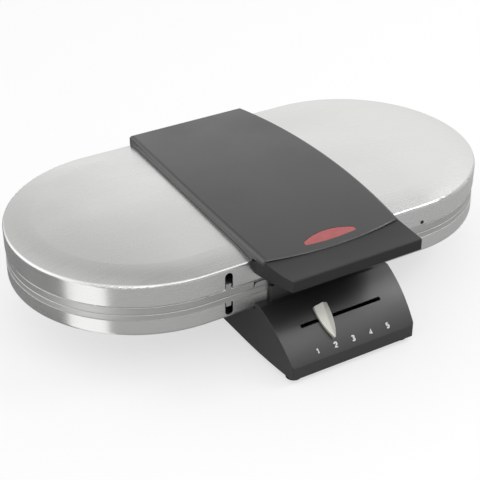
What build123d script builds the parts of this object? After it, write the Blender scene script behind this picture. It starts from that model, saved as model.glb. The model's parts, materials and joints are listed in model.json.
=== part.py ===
from build123d import *
import math
import os

# Double waffle maker: two round waffles side by side, in a lid and a base with rounded ends.
# Millimetres, +Z up, X across the two waffles, the front towards -Y, z = 0 on the worktop.
# Pieces are drawn about the plan centre of the two shells and moved to the frame at the end.

# Plan of the two shells
shell_radius = 108.0
shell_straight = 201.0
sheet = 0.8

# Heights, from the worktop up
foot_height = 4.3
stand_height = 37.7
lower_wall = 13.5
rim_lower = 5.1
parting_gap = 0.4
rim_upper = 7.2
upper_wall = 17.3
dome_rise = 9.3
crown_slope = 6.0
shoulder_width = 23.0
shell_edge_radius = 2.6
floor_edge_radius = 3.0
rim_inset = 0.6
rim_ledge = 1.6
rim_edge = 0.5
pip_width = 3.0
pip_count = 5

# Waffle plates
waffle_pitch = shell_straight
waffle_radius = 80.0
cavity_depth = 7.0
divider_drop = 3.0
pan_floor = 3.4
pan_wall = 5.0
lobe_radius = 21.0
lobe_reach = 58.0
land_half = 1.4
land_ring = 2.0
heart_count = 5
rib_pitch = 13.0
rib_foot = 3.4
rib_crest = 2.0
groove_width = 3.0
groove_depth = 1.6
plates_apart = 1.6
tab_x = 54.0
tab_width = 12.0
tab_rise = 4.6
tab_depth = 5.0
tab_round = 4.0
tab_clearance = 0.6
boss_x = 38.0
boss_y = 70.0
boss_radius = 6.0
boss_neck_radius = 4.0

# Slot in the front wall that clears a lug of the plate
slot_x = -82.5
slot_width = 6.7
lower_slot_depth = 10.6
upper_slot_depth = 13.6
lug_width = 4.6
lug_length = 3.4
lug_depth = 3.2
rivet_x = 97.5
rivet_radius = 1.6
rivet_proud = 0.3

# Heating tubes
heater_ring = 58.0
heater_radius = 2.75
heater_leg_y = 12.0
heater_bend = 8.0
heater_leg_end = 17.0
terminal_radius = 1.3
terminal_length = 7.0
clip_thickness = 0.8
clip_clearance = 0.25
clip_foot = 7.0
clip_width = 8.0
clip_count = 3

# Stand
stand_half_width = 60.0
stand_front_half_width = 56.3
stand_taper_y = -95.0
stand_reach = 157.2
panel_top_y = -115.0
panel_top_rise = 5.0
panel_bow = 3.6
stand_lip = 10.4
stand_wall = 3.0
stand_edge_radius = 2.0
neck_half_width = 48.0
neck_depth = 3.2
floor_plate = 2.5
floor_clearance = 0.3
corner_boss_x = 46.0
corner_boss_front = -92.0
corner_boss_back = 84.0
corner_boss_radius = 5.0
block_boss_radius = 4.0
vent_count = 6
vent_length = 34.0
vent_width = 3.2
vent_pitch = 9.0
vent_y = 2.0
vent_x = 27.0
shell_port_x = 22.0
shell_port_y = 34.0

# Feet
foot_radius = 6.2
foot_x = 49.5
foot_front_y = -147.5
foot_back_y = 97.0
foot_spigot = 2.4
foot_bulb = 3.4
foot_bulb_height = 1.6
foot_rounding = 0.8

# Slide control on the sloping panel
control_pitch = 16.2
control_centre = 1.0
control_rest = 2
control_steps = 5
panel_slot_half = 37.0
panel_slot_width = 2.8
slot_share = 0.465
stem_width = 4.0
stem_thickness = 1.9
rail_depth = 14.0
rail_radius = 2.0
rail_socket = 3.0
rail_end_gap = 1.5
socket_wall = 3.0
carriage_radius = 4.6
carriage_length = 15.0
running_gap = 0.05
knob_top_half = 5.8
knob_belly_half = 5.3
knob_belly_y = -3.5
knob_up = 10.4
knob_down = 17.2
knob_ridge = 7.8
knob_shoulder = 2.4
knob_tip_ridge = 1.8
knob_tip_shoulder = 0.9
knob_tip_half = 1.0
knob_lift = 0.4
knob_flare = 1.2
knob_floor = 2.0
nose_reach = 10.5
nose_radius = 1.6
nose_height = 6.0

# Adjuster that the slide control pushes against the thermostat
ramp_ratio = 0.06
ramp_gap = 0.3
ramp_margin = 3.0
bar_depth = 6.0
bar_height = 3.4
push_rod_radius = 2.4
push_rod_length = 27.0
collar_length = 2.0
collar_radius = 3.8
joint_bite = 1.0

# Thermostat
thermostat_x = 15.0
thermostat_depth = 26.0
thermostat_height = 17.0
bush_length = 7.0
bush_radius = 4.2
bush_clear = 2.0
bore_spare = 2.0
thermostat_edge = 2.5
blade_x = 7.5
blade_drop = 3.4
blade_width = 6.0
blade_length = 7.0
blade_thickness = 0.8
bracket_thickness = 1.5
bracket_width = 18.0
bracket_web_y = -30.0

# Terminal block, cord gland
block_width = 44.0
block_depth = 18.0
block_height = 15.0
block_y = 48.0
block_ways = 3
block_way_radius = 2.2
block_way_rise = 9.0
block_screw_x = 17.5
block_screw_seat = 5.2
block_edge_radius = 2.0
gland_x = 30.0
gland_z = 21.0
gland_bore = 3.6
gland_tube = 5.2
gland_flange = 7.5
gland_flange_thickness = 2.5
gland_length = 15.0
gland_barb = 1.5
gland_barb_rise = 1.0
gland_clear = 1.0

# Hinge behind the shells
hinge_y = 115.5
hinge_rise = -0.2
pin_radius = 2.5
pin_clearance = 0.05
ear_radius = 6.0
ear_thickness = 3.0
ear_turn = 53.0
ear_root = 0.5
base_ear_x = 34.3
ear_gap = 0.4
bracket_plate = 2.5
bracket_drop = 21.0
bracket_clear = 0.3
pin_head_radius = 4.0
pin_head = 1.6
pin_tail = 3.2
pin_groove_radius = 2.0
pin_clip_mouth = 3.0
clip_disc = 1.0
clip_disc_radius = 4.2
lid_plate_low = 3.0
lid_plate_high = 1.4
lid_ear_step = 1.5
backing_thickness = 2.0

# Bridge cover and handle on the lid
cover_back_y = 107.6
cover_back_rise = 9.7
cover_mid_rise = 15.3
cover_front_rise = 7.6
cover_front_y = -123.0
cover_bow = 6.0
cover_half_width = 65.4
cover_widest_y = -40.0
cover_back_half_width = 56.2
cover_front_chamfer = 0.9
handle_reach = 156.0
handle_front_half_width = 57.6
handle_mid_half_width = 59.6
handle_root_half_width = 60.4
cover_wall = 2.4
cover_edge_radius = 3.6
cover_seat = 0.2
cover_boss_radius = 4.0
cover_skirt = 3.1
cover_screw_bite = 3.6
handle_root_rise = -11.0
handle_lip_low = -2.1
handle_lip_high = 7.0
handle_mid_rise = 6.0
handle_mid_y = -140.0
handle_step = 2.0
seam_gap = 0.25
handle_edge_radius = 1.2
apron_overlap = 2.0
apron_edge_radius = 1.3
lamp_pocket_x = 27.0
lamp_pocket_depth = 8.6
lamp_pocket_back = 1.8
lamp_pocket_run = 11.0

# Indicator lens and its lamps
lens_half = 22.8
lens_end = 1.7
lens_back_bow = 6.2
lens_front_bow = 1.6
lens_y = -118.2
lens_sink = 0.2
lens_clearance = 0.15
lens_flange = 1.2
lens_flange_thickness = 1.0
lamp_x = 11.0
lamp_radius = 2.3
lamp_length = 14.0
lamp_edge_radius = 0.8
lamp_lift = 0.8
lamp_wire_radius = 1.1
lamp_wire_length = 2.4
holder_thickness = 1.2
post_thickness = 2.0
post_depth = 6.0
post_gap = 0.5
notch_radius = 1.2

# Screws
screw_shank = 1.9
screw_head = 3.6
screw_head_height = 2.2
screw_fit = 0.05
screw_hole_gap = 0.3
screw_bite = 8.0
lower_screw_bite = 4.8
upper_screw_bite = 6.4
recess_span = 1.1
recess_width = 0.28
screw_rounding = 0.4
cover_screw_y = 55.0
handle_screw_x = 38.0
handle_screw_rise = -5.8
arm_screw_x = 20.0
bracket_screw_left = -24.0
bracket_screw_right = 2.4
backing_margin = 2.0
backing_screw_spare = 1.0

# Heat shield over the upper plates
shield_thickness = 0.6
shield_inset = 9.0
shield_gap = 3.4

# How far a cutting shape runs past what it cuts
over = 1.0

# Levels worked out from the sizes above
stand_floor_z = foot_height
shell_z = foot_height + stand_height
wall_top_z = shell_z + lower_wall
parting_z = wall_top_z + rim_lower
upper_face_z = parting_z + parting_gap
upper_wall_z = upper_face_z + rim_upper
crisp_z = upper_wall_z + upper_wall
crown_z = crisp_z + dome_rise
rim_reach = shell_radius - rim_inset
hinge_z = parting_z + parting_gap / 2 + hinge_rise
half_pitch = waffle_pitch / 2
pan_radius = waffle_radius + pan_wall
pan_depth = cavity_depth + pan_floor
back_reach = hinge_y + ear_radius
frame_shift_y = (stand_reach - back_reach) / 2


def block(x0, x1, y0, y1, z0, z1):
    """A box between two corners."""
    centre = Pos((x0 + x1) / 2, (y0 + y1) / 2, (z0 + z1) / 2)
    return centre * Box(abs(x1 - x0), abs(y1 - y0), abs(z1 - z0))


def rod_x(x0, x1, y, z, radius):
    """A round bar along X."""
    return Pos((x0 + x1) / 2, y, z) * Rot(0, 90, 0) * Cylinder(radius, abs(x1 - x0))


def rod_y(y0, y1, x, z, radius):
    """A round bar along Y."""
    return Pos(x, (y0 + y1) / 2, z) * Rot(90, 0, 0) * Cylinder(radius, abs(y1 - y0))


def rod_z(z0, z1, x, y, radius):
    """A round bar along Z."""
    return Pos(x, y, (z0 + z1) / 2) * Cylinder(radius, abs(z1 - z0))


def group(solids):
    """Separate solids kept as one node."""
    flat = []
    for item in solids:
        flat.extend(item.solids())
    return Compound(flat)


def mirror_x(shape):
    """The same shape on the other side of the middle plane."""
    return mirror(shape, about=Plane.YZ)


def stadium(reach, z0, z1):
    """The shells' plan, run from one height to another."""
    plan = SlotCenterToCenter(shell_straight, 2 * reach)
    return Pos(0, 0, z0) * extrude(plan, amount=z1 - z0)


def crown_radius():
    """Radius of the gentle arc across the crown, between the shoulders."""
    return (shell_radius - shoulder_width) / math.sin(math.radians(crown_slope))


def dome_arcs(reach, top_z, wall_z):
    """Half of the crown's line: a gentle arc from the middle, then a tighter shoulder to the wall."""
    radius = crown_radius()
    break_y = reach - shoulder_width
    turn = math.asin(break_y / radius)
    middle = (radius * math.sin(turn / 2), top_z - radius + radius * math.cos(turn / 2))
    break_z = top_z - radius + radius * math.cos(turn)
    crown = ThreePointArc((0, top_z), middle, (break_y, break_z))
    shoulder = TangentArc((break_y, break_z), (reach, wall_z), tangent=(math.cos(turn), -math.sin(turn)))
    return crown, shoulder


def dome_height(y):
    """Height of the upper shell over the straight part, at a distance from the middle."""
    crown, shoulder = dome_arcs(shell_radius, crown_z, crisp_z)
    arc = crown if abs(y) <= shell_radius - shoulder_width else shoulder
    centre = arc.arc_center
    return centre.Y + math.sqrt(arc.radius ** 2 - (abs(y) - centre.X) ** 2)


def pillow(reach, floor_z, wall_z, top_z, edge_radius):
    """Straight walls with a crown whose height depends on the distance from the long middle line."""
    crown, shoulder = dome_arcs(reach, top_z, wall_z)
    lines = Polyline((reach, wall_z), (reach, floor_z), (0, floor_z), (0, top_z))
    half = make_face([crown, shoulder, *lines.edges()])
    if edge_radius > 0:
        corner = half.vertices().sort_by(lambda v: (v.X - reach) ** 2 + (v.Y - wall_z) ** 2)[0]
        half = fillet(corner, edge_radius)
    section = Plane.YZ * half
    whole = section + mirror(section, about=Plane.XZ)
    middle = extrude(whole, amount=shell_straight / 2, both=True)
    end = Pos(-shell_straight / 2, 0, 0) * revolve(section, axis=Axis.Z, revolution_arc=180)
    return middle + end + mirror_x(end)


def screw(length, head_radius=screw_head, head_height=screw_head_height, shank=screw_shank):
    """A pan-head screw with a cross recess, its head's underside at the origin and its tip towards -Z."""
    head = Cylinder(head_radius, head_height)
    head = fillet(head.edges().group_by(Axis.Z)[-1], head_height * screw_rounding)
    head = Pos(0, 0, head_height / 2) * head
    body = Pos(0, 0, -length / 2) * Cylinder(shank, length)
    body = chamfer(body.edges().group_by(Axis.Z)[0], shank * screw_rounding)
    arm = Box(head_radius * recess_span, head_radius * recess_width, head_height)
    recess = Pos(0, 0, head_height) * (arm + Rot(0, 0, 90) * arm)
    return head + body - recess


# Waffle plates

def lobe_angle():
    """Angle from a heart's middle line to the centre of its lobe."""
    apart = math.degrees(math.asin((lobe_radius + land_half) / lobe_reach))
    return 180 / heart_count - apart


def heart():
    """One heart along +X, its point towards the middle of the waffle."""
    angle = math.radians(lobe_angle())
    edge = math.pi / heart_count
    lobes = Sketch() + [
        Pos(lobe_reach * math.cos(angle), side * lobe_reach * math.sin(angle)) * Circle(lobe_radius)
        for side in (1, -1)
    ]
    start = land_half / math.sin(edge)
    run = lobe_reach * math.cos(edge - angle)
    tangent_x = start + (run - start * math.cos(edge)) * math.cos(edge)
    tangent_y = (tangent_x - start) * math.tan(edge)
    wedge = make_face(Polyline((start, 0), (tangent_x, tangent_y), (tangent_x, -tangent_y), close=True))
    return lobes + wedge


def ribs():
    """The grid that stands up from the floor of one heart."""
    outline = heart()
    height = cavity_depth - divider_drop
    reach = lobe_reach + lobe_radius
    section = make_face(
        Polyline(
            (-rib_foot / 2, 0),
            (rib_foot / 2, 0),
            (rib_crest / 2, height),
            (-rib_crest / 2, height),
            close=True,
        )
    )
    along = extrude(Plane.YZ * section, amount=reach)
    across = Pos(0, reach / 2, 0) * extrude(Plane.XZ * section, amount=reach)
    count = int(reach // rib_pitch)
    rows = count // 2
    grid = [Pos(0, step * rib_pitch, 0) * along for step in range(-rows, rows + 1)]
    grid += [Pos(step * rib_pitch, 0, 0) * across for step in range(1, count + 1)]
    net = Part() + grid
    return net & extrude(outline, amount=height)


def waffle_recess():
    """What a plate loses to its waffle: a shallow disc and the five deeper hearts, below z = 0."""
    disc = Pos(0, 0, -divider_drop) * extrude(Circle(waffle_radius), amount=divider_drop)
    deep = Pos(0, 0, -cavity_depth) * extrude(heart(), amount=cavity_depth)
    turns = [Rot(0, 0, 360 / heart_count * k) for k in range(heart_count)]
    recess = disc + [turn * deep for turn in turns]
    net = Pos(0, 0, -cavity_depth) * ribs()
    recess -= [turn * net for turn in turns]
    outer = waffle_radius + land_ring + groove_width
    ring = Circle(outer) - Circle(outer - groove_width)
    return recess + Pos(0, 0, -groove_depth) * extrude(ring, amount=groove_depth)


def plate_blank(rim_height, face_edge, back_ledge):
    """The left plate as cast, its waffle face at z = 0 and its back below."""
    flange = Pos(0, 0, -rim_height) * extrude(
        SlotCenterToCenter(shell_straight, 2 * rim_reach), amount=rim_height
    )
    if face_edge > 0:
        flange = chamfer(flange.edges().group_by(Axis.Z)[-1], face_edge)
    if back_ledge > 0:
        flange = chamfer(flange.edges().group_by(Axis.Z)[0], back_ledge)
        flange += rim_pips(rim_height, back_ledge)
    span = shell_straight + 2 * shell_radius
    flange -= block(-plates_apart / 2, span, -span, span, -rim_height, 0)
    pan = Pos(-half_pitch, 0, 0) * rod_z(-pan_depth, -rim_height, 0, 0, pan_radius)
    return flange + pan


def rim_pips(rim_height, ledge):
    """Small pads on the rim's ledge that the shell's edge stands on, spaced evenly round the left end."""
    pad = block(
        rim_reach - ledge - over, rim_reach,
        -pip_width / 2, pip_width / 2,
        -rim_height, ledge - rim_height,
    )
    angles = [90 + 180 * k / (pip_count - 1) for k in range(pip_count)]
    return Part() + [Pos(-half_pitch, 0, 0) * Rot(0, 0, angle) * pad for angle in angles]


def with_waffle(blank):
    """A plate blank with its waffle cut in, the hearts turned to lie evenly."""
    place = Pos(-half_pitch, 0, 0) * Rot(0, 0, 90)
    return blank - place * waffle_recess()


def lug(rim_height, ledge):
    """The casting's lug that shows in the front slot."""
    front = -shell_radius + rim_inset
    return block(
        slot_x - lug_width / 2, slot_x + lug_width / 2,
        front, front + lug_depth,
        -rim_height - lug_length, ledge - rim_height,
    )


def lower_plate(lugged):
    """The left lower plate."""
    plate = plate_blank(rim_lower, rim_edge, 0)
    depth = rim_lower + lower_wall - sheet
    for y in (-boss_y, boss_y):
        plate += rod_z(-depth, -rim_lower, -boss_x, y, boss_radius)
        plate -= rod_z(-depth, -rim_lower, -boss_x, y, screw_shank + screw_fit)
    if lugged:
        plate += lug(rim_lower, 0)
    plate = with_waffle(plate)
    tab = block(
        -tab_x - tab_width / 2, -tab_x + tab_width / 2,
        -rim_reach, -rim_reach + tab_depth,
        0, tab_rise,
    )
    tab = fillet(tab.edges().filter_by(Axis.Y).group_by(Axis.Z)[-1], tab_round)
    return Pos(0, 0, parting_z) * (plate + tab)


def upper_boss_top(y):
    """How high above the plate's waffle face a boss reaches to meet the shell."""
    low_side = abs(y) + boss_neck_radius
    return dome_height(low_side) - sheet - screw_fit - upper_face_z


def upper_plate(lugged):
    """The left upper plate, drawn face down and turned over."""
    plate = plate_blank(rim_upper, 0, rim_ledge)
    shoulder = shield_z() - upper_face_z
    for y in (-boss_y, boss_y):
        top = upper_boss_top(y)
        plate += rod_z(-shoulder, -rim_upper, -boss_x, y, boss_radius)
        plate += rod_z(-top, -shoulder, -boss_x, y, boss_neck_radius)
        plate -= rod_z(-top, -top + screw_bite + screw_fit, -boss_x, y, screw_shank + screw_fit)
    if lugged:
        plate += lug(rim_upper, rim_ledge)
    plate = with_waffle(plate)
    reach = rim_reach + rim_inset
    plate -= block(
        -tab_x - tab_width / 2 - tab_clearance, -tab_x + tab_width / 2 + tab_clearance,
        -reach, -rim_reach + tab_depth + tab_clearance,
        -tab_rise - tab_clearance, 0,
    )
    return Pos(0, 0, upper_face_z) * mirror(plate, about=Plane.XY)


# Shells

def front_slot(x, z0, z1):
    """A slot through the front wall with one round end at z1."""
    half = slot_width / 2
    sign = 1 if z1 > z0 else -1
    straight_end = z1 - sign * half
    y0 = -shell_radius - over
    y1 = -shell_radius + sheet + over
    low, high = sorted((z0 - sign * over, straight_end))
    return block(x - half, x + half, y0, y1, low, high) + rod_y(y0, y1, x, straight_end, half)


def lower_shell():
    """The pressed tray that the lower plates lie in."""
    outer = stadium(shell_radius, shell_z, wall_top_z)
    outer = fillet(outer.edges().group_by(Axis.Z)[0], floor_edge_radius)
    inner = stadium(shell_radius - sheet, shell_z + sheet, wall_top_z + over)
    inner = fillet(inner.edges().group_by(Axis.Z)[0], floor_edge_radius - sheet)
    tray = outer - inner
    tray -= front_slot(slot_x, wall_top_z, wall_top_z - lower_slot_depth)
    tray -= block(-shell_port_x, shell_port_x, -shell_port_y, shell_port_y, shell_z, shell_z + sheet)
    for x in (-boss_x, boss_x):
        for y in (-boss_y, boss_y):
            tray -= rod_z(shell_z - over, shell_z + sheet + over, x, y, screw_shank + screw_hole_gap)
    return tray


def rivet_z():
    """Height of the rivet, just above the foot of the lid's wall."""
    return upper_wall_z + rivet_radius + sheet


def upper_shell():
    """The domed pressed shell of the lid."""
    shell = pillow(shell_radius, upper_wall_z, crisp_z, crown_z, shell_edge_radius)
    shell -= pillow(
        shell_radius - sheet, upper_wall_z - over, crisp_z - sheet / 2, crown_z - sheet,
        shell_edge_radius - sheet,
    )
    shell -= front_slot(slot_x, upper_wall_z, upper_wall_z + upper_slot_depth)
    hole = screw_shank + screw_hole_gap
    for x in (-boss_x, boss_x):
        for y in (-boss_y, boss_y):
            shell -= rod_z(crisp_z, crown_z + over, x, y, hole)
    for y in (-cover_screw_y, cover_screw_y):
        shell -= rod_z(crisp_z, crown_z + over, 0, y, hole)
    for x in (-handle_screw_x, handle_screw_x):
        shell -= rod_y(-shell_radius - over, -shell_radius + sheet + over, x, handle_screw_z(), hole)
    for x in (-arm_screw_x, arm_screw_x):
        shell -= rod_y(shell_radius - sheet - over, shell_radius + over, x, arm_screw_z(), hole)
    shell -= rod_y(-shell_radius - over, -shell_radius + sheet + over, rivet_x, rivet_z(), rivet_radius)
    return shell


def shell_rivet():
    """The small dark rivet at the foot of the lid's front wall."""
    y = -shell_radius
    inside = y + sheet + screw_fit
    shank = rod_y(y - rivet_proud, inside, rivet_x, rivet_z(), rivet_radius - screw_fit)
    tail = rod_y(inside, inside + sheet, rivet_x, rivet_z(), rivet_radius + sheet)
    return shank + tail


# Heating tubes

def heater_path(side_y):
    """Half of a heating tube's line: from its terminal, round a bend and half of the ring."""
    centre_y = heater_leg_y + heater_bend
    reach = heater_ring + heater_bend
    centre_x = math.sqrt(reach ** 2 - centre_y ** 2)
    turn = math.degrees(math.asin(centre_y / reach))
    leg_start = half_pitch - heater_leg_end
    leg = Line((leg_start, heater_leg_y), (centre_x, heater_leg_y))
    bend = CenterArc((centre_x, centre_y), heater_bend, 270, -(90 - turn))
    ring = CenterArc((0, 0), heater_ring, turn, 180 - turn)
    wires = [leg, bend, ring]
    if side_y < 0:
        wires = [mirror(edge, about=Plane.XZ) for edge in wires]
    return wires


def heater(centre_z):
    """The left heating tube with its two terminal pins."""
    solids = Part()
    start = half_pitch - heater_leg_end
    for side in (1, -1):
        leg, bend, ring = heater_path(side)
        for edge in (leg, bend, ring):
            plane = Plane(origin=edge @ 0, z_dir=edge % 0)
            solids += sweep(plane * Circle(heater_radius), path=edge)
        solids += rod_x(start, start + terminal_length, side * heater_leg_y, 0, terminal_radius)
    return Pos(-half_pitch, 0, centre_z) * solids


def lower_heater_z():
    return parting_z - pan_depth - heater_radius - screw_fit


def upper_heater_z():
    return upper_face_z + pan_depth + heater_radius + screw_fit


def heater_clip(angle, centre_z, pan_side):
    """A strap that holds the tube to the back of the pan. pan_side is +1 with the pan above."""
    inner = heater_radius + clip_clearance
    outer = inner + clip_thickness
    seat = pan_side * (heater_radius + screw_fit)
    arch = Circle(outer) - Circle(inner)
    away = Pos(0, pan_side * outer / 2) * Rectangle(2 * outer + over, outer)
    legs = Sketch()
    for side in (1, -1):
        legs += Pos(side * (inner + outer) / 2, seat / 2) * Rectangle(clip_thickness, abs(seat))
        pad_x = side * (inner + (clip_foot + clip_thickness) / 2)
        pad_y = seat - pan_side * clip_thickness / 2
        legs += Pos(pad_x, pad_y) * Rectangle(clip_foot + clip_thickness, clip_thickness)
    profile = (arch - away) + legs
    strap = extrude(Plane.XZ * profile, amount=clip_width / 2, both=True)
    return Rot(0, 0, angle) * Pos(heater_ring, 0, centre_z) * strap


def heater_clips(centre_z, pan_side):
    """The straps of both heating tubes on one side of the parting."""
    straps = []
    for k in range(clip_count):
        angle = 90 + k * 180 / (clip_count - 1)
        strap = Pos(-half_pitch, 0, 0) * heater_clip(angle, centre_z, pan_side)
        straps += [strap, mirror_x(strap)]
    return group(straps)


# Stand

def panel_arc():
    """The bowed front panel's line in side view, from its top to its foot."""
    top = (panel_top_y, shell_z + panel_top_rise)
    low = (-stand_reach, stand_floor_z + stand_lip)
    chord = math.hypot(top[0] - low[0], top[1] - low[1])
    normal = ((low[1] - top[1]) / chord, (top[0] - low[0]) / chord)
    middle = (
        (top[0] + low[0]) / 2 + normal[0] * panel_bow,
        (top[1] + low[1]) / 2 + normal[1] * panel_bow,
    )
    return ThreePointArc(top, middle, low)


def stand_side():
    """The stand's outline in side view."""
    arc = panel_arc()
    back = shell_radius + bracket_clear
    lines = Polyline(
        arc @ 1,
        (-stand_reach, stand_floor_z),
        (back, stand_floor_z),
        (back, shell_z),
        (-shell_radius - bracket_clear, shell_z),
        (-shell_radius - bracket_clear, shell_z + panel_top_rise),
        arc @ 0,
    )
    return make_face(arc + lines)


def stand_plan(inset):
    """Half of the stand's plan mirrored: straight sides that draw in towards the front."""
    wide = stand_half_width - inset
    front_y = -stand_reach + inset
    narrow = stand_front_half_width - inset
    back = shell_radius + bracket_clear - inset
    run = stand_taper_y - front_y
    drop = wide - narrow
    radius = (run ** 2 + drop ** 2) / (2 * drop)
    half_angle = math.asin(run / radius) / 2
    middle = (wide - radius + radius * math.cos(half_angle), stand_taper_y - radius * math.sin(half_angle))
    curve = ThreePointArc((wide, stand_taper_y), middle, (narrow, front_y))
    lines = Polyline((narrow, front_y), (0, front_y), (0, back), (wide, back), (wide, stand_taper_y))
    half = make_face(curve + lines)
    return half + mirror(half, about=Plane.YZ)


def slot_frame(x):
    """A plane on the front panel at the slot: local x across, local y up the slope, z outwards."""
    arc = panel_arc()
    point = arc @ slot_share
    along = arc % slot_share
    outward = (0, along.Y, -along.X)
    return Plane(origin=(x, point.X, point.Y), x_dir=(1, 0, 0), z_dir=outward)


def rail_centre():
    """Where the slide control's rail runs, in side view."""
    frame = slot_frame(0)
    point = frame.origin - frame.z_dir * rail_depth
    return point.Y, point.Z


def control_x(step):
    """Where the knob stands at one number of the scale."""
    return control_centre + (step - (control_steps + 1) / 2) * control_pitch


def boss_places():
    """Plan places of the four bosses that take the floor plate's screws."""
    sides = (-corner_boss_x, corner_boss_x)
    return [(x, y) for x in sides for y in (corner_boss_front, corner_boss_back)]


def shell_screw_places():
    """Plan places of the four screws at the plates' bosses."""
    return [(x, y) for x in (-boss_x, boss_x) for y in (-boss_y, boss_y)]


def stand_housing():
    """The moulded stand: sloping panel, side walls and the ledge under the lower shell."""
    side = Plane.YZ * stand_side()
    body = extrude(side, amount=stand_half_width + over, both=True)
    height = shell_z + panel_top_rise
    body &= extrude(stand_plan(0), amount=height)
    body = fillet(body.edges().filter_by(Axis.Z).group_by(Axis.Y)[0], stand_edge_radius)
    core_side = offset(stand_side(), amount=-stand_wall, kind=Kind.INTERSECTION)
    core = extrude(Plane.YZ * core_side, amount=stand_half_width, both=True)
    core += block(
        -stand_half_width, stand_half_width,
        -stand_reach + stand_wall, shell_radius + bracket_clear - stand_wall,
        0, stand_floor_z + stand_wall + over,
    )
    core &= extrude(stand_plan(stand_wall), amount=height)
    body -= core
    neck = block(
        -neck_half_width, neck_half_width,
        -shell_radius - bracket_clear - neck_depth, -shell_radius - bracket_clear,
        shell_z + panel_top_rise, parting_z - parting_gap,
    )
    body += fillet(neck.edges().filter_by(Axis.Z).group_by(Axis.Y)[0], apron_edge_radius)
    boss_foot = stand_floor_z + floor_plate
    for x, y in boss_places():
        body += rod_z(boss_foot, shell_z - stand_wall, x, y, corner_boss_radius)
        body -= rod_z(boss_foot, boss_foot + screw_bite + screw_fit, x, y, screw_shank + screw_fit)
    for x, y in shell_screw_places():
        body -= rod_z(shell_z - stand_wall - over, shell_z + over, x, y, screw_shank + screw_hole_gap)
    port_x = shell_port_x - stand_wall
    port_y = shell_port_y - stand_wall
    body -= block(-port_x, port_x, -port_y, port_y, shell_z - stand_wall - over, shell_z + over)
    return body_with_control(body)


def body_with_control(body):
    """The stand with its panel slot, rail sockets, gland hole and bracket screw holes."""
    frame = slot_frame(0)
    slot = Box(2 * panel_slot_half, panel_slot_width, 4 * stand_wall)
    slot = fillet(slot.edges().filter_by(Axis.Z), panel_slot_width / 3)
    body -= frame * slot
    y, z = rail_centre()
    inside = extrude(stand_plan(stand_wall / 2), amount=shell_z)
    reach = rail_half()
    for side in (1, -1):
        inner_end = side * (reach - rail_socket)
        socket = rod_x(inner_end, side * stand_half_width, y, z, rail_radius + socket_wall)
        body += socket & inside
    body -= rod_x(-reach - running_gap, reach + running_gap, y, z, rail_radius + running_gap)
    back = shell_radius + bracket_clear
    body -= rod_y(back - stand_wall - over, back + over, gland_x, gland_z, gland_tube + screw_fit)
    bottom = back - stand_wall - screw_bite
    for x, z in bracket_screw_places():
        body += rod_y(bottom, back - stand_wall / 2, x, z, corner_boss_radius)
        body -= rod_y(bottom, back + over, x, z, screw_shank + screw_fit)
    return body


def rail_half():
    """Half of the rail's length: it ends inside the sockets on the side walls."""
    return stand_half_width - stand_wall - rail_end_gap


def slider_rail():
    """The steel rail on which the slide control runs."""
    y, z = rail_centre()
    return rod_x(-rail_half(), rail_half(), y, z, rail_radius)


def foot_places():
    """Plan places of the four feet."""
    return [(x, y) for x in (-foot_x, foot_x) for y in (foot_front_y, foot_back_y)]


def stand_floor():
    """The plate that closes the stand from below."""
    inset = stand_wall + floor_clearance
    plate = Pos(0, 0, stand_floor_z) * extrude(stand_plan(inset), amount=floor_plate)
    boss_top = stand_floor_z + 2 * floor_plate
    for x, y in foot_places():
        plate -= rod_z(0, boss_top, x, y, foot_spigot + screw_fit)
    for x, y in boss_places():
        plate -= rod_z(0, boss_top, x, y, screw_shank + screw_hole_gap)
    for x in (-block_screw_x, block_screw_x):
        plate += rod_z(stand_floor_z + floor_plate, boss_top, x, block_y, block_boss_radius)
        plate -= rod_z(0, boss_top + over, x, block_y, screw_shank + screw_fit)
    for side in (1, -1):
        for k in range(vent_count):
            y = vent_y + (k - (vent_count - 1) / 2) * vent_pitch
            x = side * vent_x
            plate -= block(
                x - vent_length / 2, x + vent_length / 2,
                y - vent_width / 2, y + vent_width / 2,
                0, boss_top,
            )
    return plate


def rubber_feet():
    """Four feet, each pushed through the floor plate."""
    feet = []
    for x, y in foot_places():
        pad = rod_z(0, stand_floor_z, x, y, foot_radius)
        pad = fillet(pad.edges().group_by(Axis.Z)[0], foot_rounding)
        spigot = rod_z(stand_floor_z, stand_floor_z + floor_plate, x, y, foot_spigot)
        bulb_foot = stand_floor_z + floor_plate
        bulb = rod_z(bulb_foot, bulb_foot + foot_bulb_height, x, y, foot_bulb)
        bulb = chamfer(bulb.edges().group_by(Axis.Z)[-1], foot_bulb_height / 2)
        feet.append(pad + spigot + bulb)
    return group(feet)


def floor_screws():
    """Screws that hold the floor plate to the stand's bosses."""
    turned = Rot(180, 0, 0) * screw(floor_plate + screw_bite)
    return group([Pos(x, y, stand_floor_z) * turned for x, y in boss_places()])


def stand_screws():
    """Screws through the stand and the lower shell into the lower plates."""
    seat = shell_z - stand_wall
    length = stand_wall + sheet + lower_screw_bite
    turned = Rot(180, 0, 0) * screw(length)
    return group([Pos(x, y, seat) * turned for x, y in shell_screw_places()])


# Slide control

def slider_carriage():
    """The runner on the rail, with the blade that carries the knob and the nose that works the ramp."""
    x = control_x(control_rest)
    y, z = rail_centre()
    half = carriage_length / 2
    sleeve = rod_x(x - half, x + half, y, z, carriage_radius)
    frame = slot_frame(x)
    blade = Pos(0, 0, (knob_shoulder - rail_depth) / 2) * Box(
        stem_width, stem_thickness, rail_depth + knob_shoulder
    )
    nose = block(
        x - nose_radius, x + nose_radius,
        y, y + nose_reach - nose_radius,
        z - nose_height / 2, z + nose_height / 2,
    )
    tip = rod_z(z - nose_height / 2, z + nose_height / 2, x, y + nose_reach - nose_radius, nose_radius)
    runner = sleeve + frame * blade + nose + tip
    return runner - rod_x(x - half, x + half, y, z, rail_radius + running_gap)


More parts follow.
